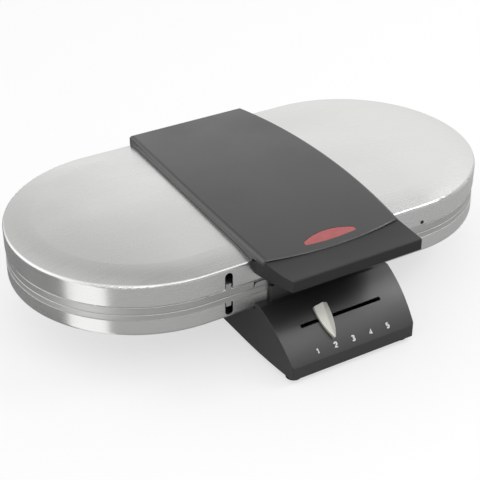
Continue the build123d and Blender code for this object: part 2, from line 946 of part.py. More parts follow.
def knob_section(width, shoulder, ridge):
    """The knob's cross section: flat below, a ridge along the top."""
    return make_face(
        Polyline(
            (-width, -knob_floor), (width, -knob_floor),
            (width, shoulder), (0, ridge), (-width, shoulder),
            close=True,
        )
    )


def knob_outline():
    """The knob seen from above: a blunt bullet that points down the slope."""
    edges = [
        Line((-knob_top_half, knob_up), (knob_top_half, knob_up)),
        ThreePointArc(
            (-knob_tip_half, knob_tip_half - knob_down), (0, -knob_down), (knob_tip_half, knob_tip_half - knob_down)
        ),
    ]
    for side in (-1, 1):
        edges.append(
            ThreePointArc(
                (side * knob_top_half, knob_up),
                (side * knob_belly_half, knob_belly_y),
                (side * knob_tip_half, knob_tip_half - knob_down),
            )
        )
    return make_face(edges)


def slider_knob():
    """The pointed knob over the slot."""
    x = control_x(control_rest)
    frame = slot_frame(x)
    prism = Pos(0, 0, -knob_floor) * extrude(knob_outline(), amount=knob_ridge + 2 * knob_floor)
    width = knob_top_half * knob_flare
    top = Plane(origin=(0, knob_up, 0), x_dir=(1, 0, 0), z_dir=(0, -1, 0))
    low = Plane(origin=(0, -knob_down, 0), x_dir=(1, 0, 0), z_dir=(0, -1, 0))
    sections = [
        top * knob_section(width, knob_shoulder, knob_ridge),
        low * knob_section(width, knob_tip_shoulder, knob_tip_ridge),
    ]
    body = frame * (prism & loft(sections, ruled=True))
    grown = offset(stand_side(), amount=knob_lift)
    body -= extrude(Plane.YZ * grown, amount=stand_half_width, both=True)
    blade = Box(stem_width, stem_thickness, 2 * knob_shoulder + 2 * screw_fit)
    return body - frame * blade


def bar_edge(x):
    """Front edge of the adjuster bar, a straight ramp just behind the carriage's nose."""
    y = rail_centre()[0]
    rest_x = control_x(control_rest)
    touch = nose_radius * (math.sqrt(1 + ramp_ratio ** 2) - 1)
    return y + nose_reach + ramp_gap + touch - ramp_ratio * (x - rest_x)


def bar_back():
    """Back face of the adjuster bar, from which its rod runs."""
    return bar_edge(control_x(1) - ramp_margin) + bar_depth


def stroke():
    """How far the adjuster moves between the knob's rest and its highest number."""
    return ramp_ratio * (control_x(control_steps) - control_x(control_rest))


def adjuster_bar():
    """The bar with the sloping front edge, and the rod that presses the thermostat."""
    z = rail_centre()[1]
    left = control_x(1) - ramp_margin
    right = control_x(control_steps) + ramp_margin
    back = bar_back()
    outline = Polyline(
        (left, bar_edge(left)), (right, bar_edge(right)), (right, back), (left, back), close=True
    )
    bar = Pos(0, 0, z - bar_height / 2) * extrude(make_face(outline), amount=bar_height)
    push_rod = rod_y(back - joint_bite, back + push_rod_length, 0, z, push_rod_radius)
    collar = rod_y(back - joint_bite, back + collar_length, 0, z, collar_radius)
    return bar + push_rod + collar


def rod_end_y():
    """Where the adjuster's rod ends at rest."""
    return bar_back() + push_rod_length


def thermostat_front():
    """Front face of the thermostat's bush, behind the adjuster's collar at the end of its travel."""
    return bar_back() + collar_length + stroke() + bush_clear


def thermostat_body():
    """The thermostat, whose bush guides the adjuster's rod."""
    z = rail_centre()[1]
    front = thermostat_front()
    body_front = front + bush_length
    body = block(
        -thermostat_x, thermostat_x,
        body_front, body_front + thermostat_depth,
        z - thermostat_height / 2, z + thermostat_height / 2,
    )
    body = fillet(body.edges().filter_by(Axis.Y), thermostat_edge)
    body += rod_y(front, body_front, 0, z, bush_radius)
    body -= rod_y(front, rod_end_y() + stroke() + bore_spare, 0, z, push_rod_radius + running_gap)
    tail = body_front + thermostat_depth
    blade_z = z - blade_drop
    for x in (-blade_x, blade_x):
        body += block(
            x - blade_width / 2, x + blade_width / 2,
            tail, tail + blade_length,
            blade_z - blade_thickness / 2, blade_z + blade_thickness / 2,
        )
    return body


def thermostat_bracket():
    """The sheet bracket that hangs the thermostat from the lower plates and brings it their heat."""
    top_z = parting_z - rim_lower
    low_z = rail_centre()[1] + thermostat_height / 2
    y0 = thermostat_front() + bush_length
    y1 = y0 + thermostat_depth
    half = bracket_width / 2
    lower_leaf = block(-half, half, y0, y1, low_z, low_z + bracket_thickness)
    web_y = bracket_web_y
    web = block(-half, half, web_y, web_y + bracket_thickness, low_z, top_z)
    foot = block(-half, half, min(y0, web_y), web_y + bracket_thickness, low_z, low_z + bracket_thickness)
    upper_leaf = block(-half, half, web_y, web_y + bracket_width, top_z - bracket_thickness, top_z)
    return lower_leaf + foot + web + upper_leaf


def terminal_block():
    """The block where the cord's leads meet the inner leads."""
    z0 = stand_floor_z + 2 * floor_plate
    body = block(
        -block_width / 2, block_width / 2, block_y - block_depth / 2, block_y + block_depth / 2,
        z0, z0 + block_height,
    )
    body = fillet(body.edges().filter_by(Axis.Z), block_edge_radius)
    pitch = block_width / 2 / block_ways
    for k in range(block_ways):
        x = (k - (block_ways - 1) / 2) * pitch
        body -= rod_y(block_y - block_depth, block_y + block_depth, x, z0 + block_way_rise, block_way_radius)
    for x in (-block_screw_x, block_screw_x):
        body -= rod_z(z0, z0 + block_height, x, block_y, screw_shank + screw_hole_gap)
        body -= rod_z(z0 + block_screw_seat, z0 + block_height, x, block_y, screw_head + screw_hole_gap)
    return body


def block_screws():
    """Screws that hold the terminal block to the floor plate."""
    seat = stand_floor_z + 2 * floor_plate + block_screw_seat
    one = screw(block_screw_seat + floor_plate)
    return group([Pos(x, block_y, seat) * one for x in (-block_screw_x, block_screw_x)])


def cord_gland():
    """The bush in the back wall that the mains cord would pass through."""
    back = shell_radius + bracket_clear
    inside = back - stand_wall
    flange = rod_y(back, back + gland_flange_thickness, gland_x, gland_z, gland_flange)
    tube = rod_y(back + gland_flange_thickness - gland_length, back, gland_x, gland_z, gland_tube)
    barb = rod_y(inside - gland_barb, inside, gland_x, gland_z, gland_tube + gland_barb_rise)
    outside = fillet(flange.edges().group_by(Axis.Y)[-1], gland_flange_thickness / 2)
    bore = rod_y(back - gland_length, back + gland_flange_thickness + over, gland_x, gland_z, gland_bore)
    return outside + tube + barb - bore


# Hinge

def ear(x0, x1, low, high, inner_y):
    """An ear between a plate and the hinge line, its round end about the pin."""
    across = ear_radius * math.cos(math.radians(ear_turn))
    up = ear_radius * math.sin(math.radians(ear_turn))
    web = make_face(
        Polyline(
            (inner_y, low), (inner_y, high),
            (hinge_y + across, hinge_z + up),
            (hinge_y + across, hinge_z - up),
            close=True,
        )
    )
    solid = Pos(x0, 0, 0) * extrude(Plane.YZ * web, amount=x1 - x0)
    solid += rod_x(x0, x1, hinge_y, hinge_z, ear_radius)
    return solid


def bracket_screw_places():
    """Places of the bracket's screws on the stand's back wall."""
    z = shell_z - bracket_drop / 2
    return [(bracket_screw_left, z), (bracket_screw_right, z)]


def hinge_bracket():
    """The steel bracket on the back of the stand, with the two outer ears."""
    inner = shell_radius + bracket_clear
    outer = inner + bracket_plate
    low = shell_z - bracket_drop
    high = hinge_z - ear_radius - 2 * ear_gap
    width = base_ear_x + ear_thickness / 2
    plate = block(-width, width, inner, outer, low, high)
    notch = gland_flange + gland_clear
    plate -= block(gland_x - notch, gland_x + notch, inner, outer, gland_z - notch, gland_z + notch)
    for side in (1, -1):
        x0 = side * base_ear_x - ear_thickness / 2
        plate += ear(x0, x0 + ear_thickness, shell_z - ear_radius, high, outer - ear_root)
    plate -= rod_x(-2 * width, 2 * width, hinge_y, hinge_z, pin_radius + pin_clearance)
    for x, z in bracket_screw_places():
        plate -= rod_y(inner - over, outer + over, x, z, screw_shank + screw_hole_gap)
    return plate


def bracket_screws():
    """Screws through the hinge bracket into the stand."""
    outer = shell_radius + bracket_clear + bracket_plate
    one = Rot(-90, 0, 0) * screw(bracket_plate + screw_bite)
    return group([Pos(x, outer, z) * one for x, z in bracket_screw_places()])


def hinge_pin():
    """The pin that the lid turns on."""
    outer = base_ear_x + ear_thickness / 2
    pin = rod_x(-outer - pin_tail, outer, hinge_y, hinge_z, pin_radius)
    head = rod_x(outer, outer + pin_head, hinge_y, hinge_z, pin_head_radius)
    head = fillet(head.edges().group_by(Axis.X)[-1], pin_head / 2)
    pin += head
    groove = -outer - screw_fit
    ring = rod_x(groove - clip_disc, groove, hinge_y, hinge_z, pin_radius + over)
    ring -= rod_x(groove - 2 * clip_disc, -outer, hinge_y, hinge_z, pin_groove_radius)
    return pin - ring


def pin_clip():
    """The snap ring in the pin's groove."""
    outer = base_ear_x + ear_thickness / 2
    x0 = -outer - screw_fit - clip_disc
    disc = rod_x(x0 + screw_fit, x0 + clip_disc - screw_fit, hinge_y, hinge_z, clip_disc_radius)
    disc -= rod_x(x0 - over, x0 + clip_disc + over, hinge_y, hinge_z, pin_groove_radius + screw_fit)
    mouth = block(
        x0 - over, x0 + clip_disc + over,
        hinge_y, hinge_y + 2 * clip_disc_radius,
        hinge_z - pin_clip_mouth / 2, hinge_z + pin_clip_mouth / 2,
    )
    return disc - mouth


def arm_screw_z():
    """Height of the screws that hold the lid's hinge arm."""
    return (upper_wall_z + lid_plate_low + crisp_z - lid_plate_high) / 2


def hinge_arm():
    """The steel arm on the back of the lid, with the two inner ears."""
    inner = shell_radius
    outer = inner + bracket_plate
    low = upper_wall_z + lid_plate_low
    high = crisp_z - lid_plate_high - shell_edge_radius
    ear_outer = base_ear_x - ear_thickness / 2 - ear_gap
    plate = block(-ear_outer, ear_outer, inner, outer, low, high)
    for side in (1, -1):
        x0 = side * (ear_outer - lid_ear_step) - ear_thickness / 2
        plate += ear(x0, x0 + ear_thickness, low, high, outer - ear_root)
    plate -= rod_x(-2 * ear_outer, 2 * ear_outer, hinge_y, hinge_z, pin_radius + pin_clearance)
    for x in (-arm_screw_x, arm_screw_x):
        plate -= rod_y(inner - over, outer + over, x, arm_screw_z(), screw_shank + screw_hole_gap)
    return plate


def hinge_backing():
    """The threaded strip inside the lid's back wall that the arm is screwed to."""
    inner = shell_radius - sheet
    inner_face = inner - backing_thickness
    half_height = screw_head + backing_margin / 2
    reach = arm_screw_x + screw_head + backing_margin
    strip = block(
        -reach, reach,
        inner_face, inner,
        arm_screw_z() - half_height, arm_screw_z() + half_height,
    )
    for x in (-arm_screw_x, arm_screw_x):
        strip -= rod_y(inner_face - over, inner + over, x, arm_screw_z(), screw_shank + screw_fit)
    return strip


def arm_screws():
    """Screws through the arm and the shell's wall into the strip behind it."""
    outer = shell_radius + bracket_plate
    one = Rot(-90, 0, 0) * screw(bracket_plate + sheet + backing_thickness + backing_screw_spare)
    return group([Pos(x, outer, arm_screw_z()) * one for x in (-arm_screw_x, arm_screw_x)])


# Lid cover and handle

def cover_plan(inset):
    """The plan of the cover and the handle: widest towards the front, drawn in at both ends."""
    wide = cover_half_width - inset
    back = cover_back_y - inset
    front = -handle_reach + inset
    back_x = cover_back_half_width - inset
    front_x = handle_front_half_width - inset

    def side_point(y, end_y, end_x):
        share = (y - cover_widest_y) / (end_y - cover_widest_y)
        return wide - (wide - end_x) * share ** 2, y

    back_mid = side_point((back + cover_widest_y) / 2, back, back_x)
    front_mid = side_point((front + cover_widest_y) / 2, front, front_x)
    back_arc = ThreePointArc((back_x, back), back_mid, (wide, cover_widest_y))
    front_arc = ThreePointArc((wide, cover_widest_y), front_mid, (front_x, front))
    lines = Polyline((front_x, front), (0, front), (0, back), (back_x, back))
    half = make_face(back_arc + front_arc + lines)
    return half + mirror(half, about=Plane.YZ)


def cover_arc(drop, front_y):
    """The cover's top line in side view, from the back to front_y."""
    ends = [
        (cover_back_y, crisp_z + cover_back_rise - drop),
        (0, crisp_z + cover_mid_rise - drop),
        (cover_front_y, crisp_z + cover_front_rise - drop),
    ]
    whole = ThreePointArc(*ends)
    centre = whole.arc_center
    radius = whole.radius
    reach = cover_back_y if front_y < cover_back_y else front_y
    start = (reach, centre.Y + math.sqrt(radius ** 2 - (reach - centre.X) ** 2))
    end = (front_y, centre.Y + math.sqrt(radius ** 2 - (front_y - centre.X) ** 2))
    return ThreePointArc(start, ends[1], end)


def cover_top(y):
    """Height of the cover's top at a distance from the middle."""
    arc = cover_arc(0, -handle_reach)
    centre = arc.arc_center
    return centre.Y + math.sqrt(arc.radius ** 2 - (y - centre.X) ** 2)


def cover_side(drop, front_y, floor_z):
    """The space under the cover's top line, run across X."""
    arc = cover_arc(drop, front_y)
    start = arc @ 0
    end = arc @ 1
    lines = Polyline((end.X, end.Y), (end.X, floor_z), (start.X, floor_z), (start.X, start.Y))
    return extrude(Plane.YZ * make_face(arc + lines), amount=cover_half_width + over, both=True)


def front_edge_cut(grow):
    """Everything in front of the cover's bowed front edge."""
    tip = cover_front_y - cover_bow - grow
    ends = cover_front_y - grow
    width = cover_half_width + over
    far = -2 * handle_reach
    share = (width / handle_front_half_width) ** 2
    side_y = ends + cover_bow * (share - 1)
    arc = ThreePointArc((-width, side_y), (0, tip), (width, side_y))
    lines = Polyline((width, side_y), (width, far), (-width, far), (-width, side_y))
    return extrude(make_face(arc + lines), amount=2 * crown_z)


def lens_outline(grow):
    """The indicator window: bowed long edges and blunt ends."""
    end_x = lens_half + grow
    end = lens_end + grow
    back = ThreePointArc(
        (-end_x, lens_y + end), (0, lens_y + end + lens_back_bow), (end_x, lens_y + end)
    )
    front = ThreePointArc(
        (end_x, lens_y - end), (0, lens_y - end - lens_front_bow), (-end_x, lens_y - end)
    )
    right = Line((end_x, lens_y + end), (end_x, lens_y - end))
    left = Line((-end_x, lens_y - end), (-end_x, lens_y + end))
    return make_face(back + right + front + left)


def seam_z():
    """Where the cover's front skirt ends over the handle."""
    return crisp_z + cover_skirt


def cover_boss_foot(y):
    """Where a boss under the cover stops, just above the shell."""
    return dome_height(abs(y) - cover_boss_radius) + cover_seat


def bridge_cover():
    """The moulded cover across the middle of the lid."""
    height = 2 * crown_z
    outer = cover_side(0, -handle_reach, shell_z) & extrude(cover_plan(0), amount=height)
    outer -= front_edge_cut(0)
    top_z = seam_z()
    rim = [
        edge
        for edge in outer.edges()
        if edge.bounding_box().min.Z > top_z
        and (abs(edge.center().X) > cover_half_width / 2 or edge.bounding_box().min.Y > cover_back_y - over)
    ]
    outer = fillet(rim, cover_edge_radius)
    front = outer.edges().group_by(Axis.Y)[0].sort_by(Axis.Z)[-1]
    outer = chamfer(front, cover_front_chamfer)
    inner = cover_side(cover_wall, -handle_reach, 0) & extrude(cover_plan(cover_wall), amount=height)
    inner -= front_edge_cut(-cover_wall)
    cover = outer - inner
    cover -= pillow(shell_radius + cover_seat, 0, crisp_z + cover_seat, crown_z + cover_seat, 0)
    cover -= block(
        -2 * cover_half_width, 2 * cover_half_width,
        -2 * handle_reach, -shell_radius, 0, top_z,
    )
    window = extrude(lens_outline(lens_clearance), amount=height)
    cover -= window
    for y in (-cover_screw_y, cover_screw_y):
        foot = cover_boss_foot(y)
        cover += rod_z(foot, cover_top(y) - cover_wall / 2, 0, y, cover_boss_radius)
        cover -= rod_z(foot, foot + cover_screw_bite + screw_fit, 0, y, screw_shank + screw_fit)
    return cover


def cover_screws():
    """Screws from inside the lid into the cover's bosses."""
    solids = []
    for y in (-cover_screw_y, cover_screw_y):
        foot = cover_boss_foot(y)
        seat = dome_height(abs(y) + screw_head) - sheet - screw_fit
        one = Rot(180, 0, 0) * screw(foot + cover_screw_bite - seat)
        solids.append(Pos(0, y, seat) * one)
    return group(solids)


def handle_screw_z():
    return crisp_z + handle_screw_rise


def handle_plan():
    """The plan of the handle: its sides draw in towards the lip."""
    edges = [
        Line((-handle_root_half_width, -shell_radius), (handle_root_half_width, -shell_radius)),
        Line((-handle_front_half_width, -handle_reach), (handle_front_half_width, -handle_reach)),
    ]
    for side in (-1, 1):
        edges.append(
            ThreePointArc(
                (side * handle_root_half_width, -shell_radius),
                (side * handle_mid_half_width, handle_mid_y),
                (side * handle_front_half_width, -handle_reach),
            )
        )
    return make_face(edges)


def handle_grip():
    """The front handle: a lip to lift the lid by and an apron in front of the upper rim."""
    back = -shell_radius
    tip = -handle_reach
    top = ThreePointArc(
        (tip, crisp_z + handle_lip_high),
        (handle_mid_y, crisp_z + handle_mid_rise),
        (back, cover_top(back) - handle_step),
    )
    lines = Polyline(
        (back, cover_top(back) - handle_step),
        (back, crisp_z + handle_root_rise),
        (tip, crisp_z + handle_lip_low),
        (tip, crisp_z + handle_lip_high),
    )
    wedge = extrude(Plane.YZ * make_face(top + lines), amount=cover_half_width + over, both=True)
    wedge &= extrude(handle_plan(), amount=2 * crown_z)
    lip_top = crisp_z + handle_lip_high
    upper = [
        edge
        for edge in wedge.edges()
        if edge.bounding_box().min.Z > lip_top - over / 2 and edge.center().Y < back - over
    ]
    wedge = fillet(upper, handle_edge_radius)
    under = cover_side(-over, -handle_reach - over, seam_z() - seam_gap) - front_edge_cut(seam_gap)
    wedge -= under
    apron_low = upper_face_z + parting_gap
    apron = block(
        -neck_half_width, neck_half_width,
        back - bracket_clear - neck_depth, back,
        apron_low, crisp_z + handle_root_rise + apron_overlap,
    )
    apron = fillet(apron.edges().filter_by(Axis.Z).group_by(Axis.Y)[0], apron_edge_radius)
    wedge += apron
    wedge -= block(
        -lamp_pocket_x, lamp_pocket_x,
        back - lamp_pocket_back - lamp_pocket_run, back - lamp_pocket_back,
        seam_z() - lamp_pocket_depth, seam_z() + over,
    )
    for x in (-handle_screw_x, handle_screw_x):
        wedge -= rod_y(back - screw_bite - screw_fit, back, x, handle_screw_z(), screw_shank + screw_fit)
    return wedge


def handle_screws():
    """Screws from inside the lid into the back of the handle."""
    seat = -shell_radius + sheet
    one = Rot(-90, 0, 0) * screw(sheet + screw_bite)
    return group([Pos(x, seat, handle_screw_z()) * one for x in (-handle_screw_x, handle_screw_x)])


def indicator_lens():
    """The red window: it fills the opening and has a flange below the cover."""
    body = extrude(lens_outline(0), amount=2 * crown_z)
    flange = extrude(lens_outline(lens_flange), amount=2 * crown_z)
    slab = cover_side(lens_sink, -handle_reach, 0)
    wall = cover_side(cover_wall + screw_fit, -handle_reach, 0)
    below = cover_side(cover_wall + screw_fit + lens_flange_thickness, -handle_reach, 0)
    return (body & (slab - below)) + (flange & (wall - below))


def lamp_z():
    """Height of the lamps' middle line, just above the holder."""
    floor = seam_z() - lamp_pocket_depth
    return floor + holder_thickness + lamp_radius + lamp_lift


def lamp_y():
    return -shell_radius - lamp_pocket_back - lamp_pocket_run / 2


def lamp_holder():
    """The plate on the floor of the handle's pocket, with cradles for the lamps."""
    floor = seam_z() - lamp_pocket_depth
    y = lamp_y()
    gap = running_gap
    plate = block(
        -lamp_pocket_x + gap, lamp_pocket_x - gap,
        y - lamp_pocket_run / 2 + gap, y + lamp_pocket_run / 2 - gap,
        floor, floor + holder_thickness,
    )
    for side in (1, -1):
        for end in (1, -1):
            x = side * lamp_x + end * (lamp_length / 2 + post_gap + post_thickness / 2)
            plate += block(
                x - post_thickness / 2, x + post_thickness / 2,
                y - post_depth / 2, y + post_depth / 2,
                floor + holder_thickness, lamp_z() + lamp_radius / 2,
            )
    for side in (1, -1):
        reach = lamp_length / 2 + lamp_wire_length + over
        plate -= rod_x(side * lamp_x - reach, side * lamp_x + reach, y, lamp_z(), notch_radius)
    return plate


def indicator_lamps():
    """Two small glow lamps, each with a cap at both ends."""
    lamps = []
    for side in (1, -1):
        x = side * lamp_x
        half = lamp_length / 2
        glass = rod_x(x - half, x + half, lamp_y(), lamp_z(), lamp_radius)
        glass = fillet(glass.edges(), lamp_edge_radius)
        reach = half + lamp_wire_length
        wires = rod_x(x - reach, x + reach, lamp_y(), lamp_z(), lamp_wire_radius)
        lamps.append(glass + wires)
    return group(lamps)


def shell_screws():
    """Screws through the top of the upper shell into the upper plates' bosses."""
    solids = []
    for x, y in shell_screw_places():
        seat = dome_height(abs(y) - screw_head) + screw_fit
        boss_end = upper_face_z + upper_boss_top(y)
        one = screw(seat - boss_end + upper_screw_bite)
        solids.append(Pos(x, y, seat) * one)
    return group(solids)


def shield_z():
    """Underside of the heat shield, above the upper heating tubes and their straps."""
    return upper_heater_z() + heater_radius + clip_thickness + shield_gap


def heat_shield():
    """The thin sheet between the upper heating tubes and the shell."""
    z = shield_z()
    sheet_metal = stadium(shell_radius - shield_inset, z, z + shield_thickness)
    for x, y in shell_screw_places():
        sheet_metal -= rod_z(z - over, z + shield_thickness + over, x, y, boss_neck_radius + screw_hole_gap)
    return sheet_metal


PIECES = {
    "stand_housing": stand_housing,
    "stand_floor": stand_floor,
    "rubber_feet": rubber_feet,
    "floor_screws": floor_screws,
    "stand_screws": stand_screws,
    "lower_shell": lower_shell,
    "lower_plate_left": lambda: lower_plate(True),
    "lower_plate_right": lambda: mirror_x(lower_plate(False)),
    "lower_heater_left": lambda: heater(lower_heater_z()),
    "lower_heater_right": lambda: mirror_x(heater(lower_heater_z())),
    "lower_heater_clips": lambda: heater_clips(lower_heater_z(), 1),
    "slider_rail": slider_rail,
    "slider_carriage": slider_carriage,
    "slider_knob": slider_knob,
    "adjuster_bar": adjuster_bar,
    "thermostat_body": thermostat_body,
    "thermostat_bracket": thermostat_bracket,
    "terminal_block": terminal_block,
    "block_screws": block_screws,
    "cord_gland": cord_gland,
    "hinge_bracket": hinge_bracket,
    "bracket_screws": bracket_screws,
    "hinge_pin": hinge_pin,
    "pin_clip": pin_clip,
    "upper_shell": upper_shell,
    "shell_rivet": shell_rivet,
    "upper_plate_left": lambda: upper_plate(True),
    "upper_plate_right": lambda: mirror_x(upper_plate(False)),
    "upper_heater_left": lambda: heater(upper_heater_z()),
    "upper_heater_right": lambda: mirror_x(heater(upper_heater_z())),
    "upper_heater_clips": lambda: heater_clips(upper_heater_z(), -1),
    "heat_shield": heat_shield,
    "shell_screws": shell_screws,
    "hinge_arm": hinge_arm,
    "hinge_backing": hinge_backing,
    "arm_screws": arm_screws,
    "bridge_cover": bridge_cover,
    "cover_screws": cover_screws,
    "handle_grip": handle_grip,
    "handle_screws": handle_screws,
    "indicator_lens": indicator_lens,
    "lamp_holder": lamp_holder,
    "indicator_lamps": indicator_lamps,
}


os.makedirs("parts", exist_ok=True)
for name, make in PIECES.items():
    piece = Pos(0, frame_shift_y, 0) * make()
    export_step(piece, f"parts/{name}.step")
    print(name, len(piece.solids()))
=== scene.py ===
import json
import math

import bpy
from mathutils import Matrix, Vector


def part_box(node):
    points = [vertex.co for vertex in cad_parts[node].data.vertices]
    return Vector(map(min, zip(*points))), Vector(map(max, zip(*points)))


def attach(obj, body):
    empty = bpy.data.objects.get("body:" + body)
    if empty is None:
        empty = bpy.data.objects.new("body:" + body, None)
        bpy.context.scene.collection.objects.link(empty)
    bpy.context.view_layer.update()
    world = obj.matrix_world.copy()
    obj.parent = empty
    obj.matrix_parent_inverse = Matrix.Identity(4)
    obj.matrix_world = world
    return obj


# Double waffle maker in metres, +Z up, front towards -Y, standing on z = 0.

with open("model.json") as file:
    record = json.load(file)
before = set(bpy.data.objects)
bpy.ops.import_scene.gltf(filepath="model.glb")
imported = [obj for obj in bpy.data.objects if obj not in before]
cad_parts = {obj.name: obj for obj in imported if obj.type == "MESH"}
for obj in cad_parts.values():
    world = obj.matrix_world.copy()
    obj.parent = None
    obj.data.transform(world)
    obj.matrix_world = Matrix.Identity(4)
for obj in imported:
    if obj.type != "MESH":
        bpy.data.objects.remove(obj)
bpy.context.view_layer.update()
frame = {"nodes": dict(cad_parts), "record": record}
nodes = frame["nodes"]

MM = 0.001

# Camera that matches the photograph, in the same frame as the model
camera_place = Vector((-455.9, -731.55, 565.9)) * MM
camera_azimuth = -30.835
camera_elevation = 31.541
focal_pixels = 1206.6
image_pixels = 480
sensor_width = 36.0

# Numbers on the sloping panel, drawn with a round pen that is pressed nearly flat
number_pitch = 16.2 * MM
number_centre_x = 1.0 * MM
number_height = 3.7 * MM
number_y = -135.1 * MM
number_pen = 0.76 * MM
number_pen_steps = 3
number_flatness = 0.16
probe_rise = 50 * MM

# The numbers' strokes, in shares of their height from their middle
number_strokes = (
    ((-0.26, 0.26), (0.06, 0.5), (0.06, -0.5)),
    ((-0.29, 0.24), (-0.22, 0.42), (0, 0.5), (0.22, 0.42), (0.28, 0.22), (0.20, 0.02), (-0.29, -0.5),
     (0.31, -0.5)),
    ((-0.27, 0.36), (-0.15, 0.47), (0, 0.5), (0.19, 0.45), (0.26, 0.27), (0.19, 0.10), (-0.05, 0.04),
     (0.20, -0.01), (0.29, -0.22), (0.21, -0.44), (0, -0.5), (-0.19, -0.46), (-0.29, -0.34)),
    ((0.15, -0.5), (0.15, 0.5), (-0.32, -0.2), (0.33, -0.2)),
    ((0.25, 0.5), (-0.19, 0.5), (-0.24, 0.02), (0, 0.12), (0.20, 0.04), (0.29, -0.18), (0.21, -0.42),
     (0, -0.5), (-0.19, -0.46), (-0.28, -0.36)),
)

# Floor: its white share for the camera, and for polished parts by the distance from the middle, so that
# the floor puts painted shade into the metal's reflection near the object
floor_reach = 6.0
camera_share = 0.62
shine_shares = (0.12, 0.9)
shine_ring = (0.36, 0.9)
floor_white = 0.93
# The floor's colour for bounce and reflections, darker than to the camera: painted shade in reflections
floor_bounce = 0.40

# Glowing cards beside the left end that show only in reflections, a painted highlight and a painted
# shade in the end's steel wall, in degrees round the end and in headings from the front towards the left
card_height = 0.5 * MM
card_reach = 1.6
# The white card: a painted highlight in the left end's steel wall
painted_highlight_card_from = (40, 57.3)
painted_highlight_card_headings = (57, 93)
painted_highlight_card_level = 1.25
# The grey card: painted shade in the steel wall behind the highlight
painted_shade_card_from = 115
painted_shade_card_headings = (140, 190)
painted_shade_card_level = 0.25

# Dome: its brightness from the left to the right, which leans with the depth of a direction, from the
# horizon to overhead, and from the photographer's side to the back
dome_lean = 0.6
dome_span = (-0.08, 1.42)
dome_across = (
    (0.0, 1.0), (0.10, 0.92), (0.27, 0.58), (0.393, 0.38), (0.50, 0.50), (0.633, 0.70), (0.733, 0.64),
    (1.0, 0.52),
)
dome_upward = ((0.0, 1.0), (0.52, 1.0), (0.70, 0.82), (0.85, 0.62), (1.0, 0.62))
dome_forward = ((0.0, 0.2), (0.25, 0.25), (0.6, 0.7), (0.8, 1.0))
dome_strength = 1.6

# Lamps: a long strip in front, and a small key lamp at the right
lamp_target = Vector((0, 0, 0.05))
strip_place = Vector((0.0, -1.05, 1.25))
strip_size = (1.7, 0.6)
strip_power = 4.2
key_place = Vector((1.2, -0.5, 1.3))
key_size = (0.6, 0.6)
key_power = 6

# Edges that the light catches
plastic_edge = 0.6 * MM
cast_edge = 0.4 * MM
edge_samples = 6

# Brushing: its noise's scale along and across the streaks, and the upward slope that parts wall from top
brush_along = 30
brush_across = 2600
brush_spread = 0.82
crown_slope = (0.6, 0.85)

# The part of a noise's range where most of it lies
noise_span = (0.3, 0.7)


# Nodes

def feed(tree, value, node, socket):
    """Joins another node's output to an input, or sets the input to a constant."""
    if isinstance(value, bpy.types.NodeSocket):
        tree.links.new(value, node.inputs[socket])
    else:
        node.inputs[socket].default_value = value


def add(tree, kind, settings=None, **inputs):
    """A new node, with its properties set and its inputs fed."""
    node = tree.nodes.new(kind)
    for key, value in (settings or {}).items():
        setattr(node, key, value)
    for key, value in inputs.items():
        feed(tree, value, node, key.replace("_", " "))
    return node


def compute(tree, operation, *terms):
    """The result of one operation on outputs and constants."""
    node = add(tree, "ShaderNodeMath", {"operation": operation})
    for place, term in enumerate(terms):
        feed(tree, term, node, place)
    return node.outputs["Value"]


def remap(tree, value, to, span=(0.0, 1.0)):
    """A value stretched from one span to another, and held within it."""
    node = add(
        tree, "ShaderNodeMapRange",
        Value=value, From_Min=span[0], From_Max=span[1], To_Min=to[0], To_Max=to[1],
    )
    return node.outputs["Result"]


def own_space(tree):
    """The place on a piece, in the piece's own space."""
    return add(tree, "ShaderNodeTexCoord").outputs["Object"]


def noise(tree, scale, detail, roughness, stretch=(1, 1, 1)):
    """Noise in the piece's own space, stretched by a scale along each axis."""
    mapping = add(tree, "ShaderNodeMapping", Vector=own_space(tree), Scale=stretch)
    node = add(
        tree, "ShaderNodeTexNoise",
        Vector=mapping.outputs["Vector"], Scale=scale, Detail=detail, Roughness=roughness,
    )
    return node.outputs["Fac"]


def turned(tree, vector, kind, source, target):
    """A vector turned from one space to another."""
    node = add(
        tree, "ShaderNodeVectorTransform",
        {"vector_type": kind, "convert_from": source, "convert_to": target},
        Vector=vector,
    )
    return node.outputs["Vector"]


# Parts of a finish

def new_material(name):
    """A node material, with its node tree and its shader."""
    material = bpy.data.materials.new(name)
    material.use_nodes = True
    tree = material.node_tree
    return material, tree, tree.nodes["Principled BSDF"]


def toned(colour, factor):
    """A colour made darker or lighter, up to white."""
    return tuple(min(1.0, channel * factor) for channel in colour)


def tint(tree, shader, value, colour, darker, lighter):
    """Base colour between two tones of a colour, by a value."""
    ramp = add(tree, "ShaderNodeValToRGB", Fac=value)
    for stop, factor in zip(ramp.color_ramp.elements, (darker, lighter)):
        stop.color = (*toned(colour, factor), 1)
    feed(tree, ramp.outputs["Color"], shader, "Base Color")


def roughen(tree, shader, value, low, high, span=noise_span):
    """Roughness between two levels, by a value."""
    feed(tree, remap(tree, value, (low, high), span), shader, "Roughness")


def bump(tree, shader, height, strength, distance, edge=0.0):
    """Bump from a height onto the shader's normal, over edges rounded by a radius."""
    node = add(tree, "ShaderNodeBump", Strength=strength, Distance=distance, Height=height)
    feed(tree, node.outputs["Normal"], shader, "Normal")
    if edge:
        rounded = add(tree, "ShaderNodeBevel", {"samples": edge_samples}, Radius=edge)
        feed(tree, rounded.outputs["Normal"], node, "Normal")


# Materials

